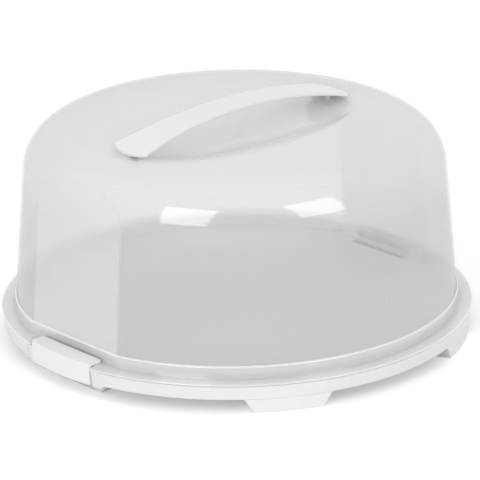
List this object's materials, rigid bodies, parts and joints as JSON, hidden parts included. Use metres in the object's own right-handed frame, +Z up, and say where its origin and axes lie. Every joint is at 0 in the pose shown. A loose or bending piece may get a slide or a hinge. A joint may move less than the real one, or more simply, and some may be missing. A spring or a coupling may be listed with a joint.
{
  "type": "cake carrier",
  "caption": "Round cake carrier: white footed tray, clear drafted dome with two flats, an arched strap handle over an oval finger dish, and flip latches on opposite sides.",
  "frame": {"origin": "bottom centre of the tray, on the table below the middle", "axes": "+Z up; the handle and both latches lie along X; the lid lifts along +Z"},
  "size_m": [0.3518, 0.355, 0.1764],
  "materials": {
    "tray_white": "white injection-moulded plastic, satin",
    "dome_clear": "clear, slightly milky plastic, glossy",
    "handle_white": "white injection-moulded plastic, half gloss",
    "latch_white": "white injection-moulded plastic, satin"
  },
  "bodies": {
    "tray": {"base_tray": "tray_white"},
    "lid": {"lid_dome": "dome_clear"},
    "handle": {"carry_handle": "handle_white"},
    "front_latch": {"latch_front": "latch_white"},
    "back_latch": {"latch_back": "latch_white"}
  },
  "joints": [
    {"name": "lid_lift", "type": "slide", "parent": "tray", "child": "lid", "axis": [0, 0, 1], "range_m": [0, 0.2]},
    {"name": "handle_lift", "type": "slide", "parent": "lid", "child": "handle", "axis": [0, 0, 1], "range_m": [0, 0.003]},
    {"name": "front_latch_hinge", "type": "hinge", "parent": "tray", "child": "front_latch", "pos_m": [-0.1694, 0, 0.0118], "axis": [0, -1, 0], "range_deg": [0, 100]},
    {"name": "back_latch_hinge", "type": "hinge", "parent": "tray", "child": "back_latch", "pos_m": [0.1694, 0, 0.0118], "axis": [0, 1, 0], "range_deg": [0, 100]}
  ]
}
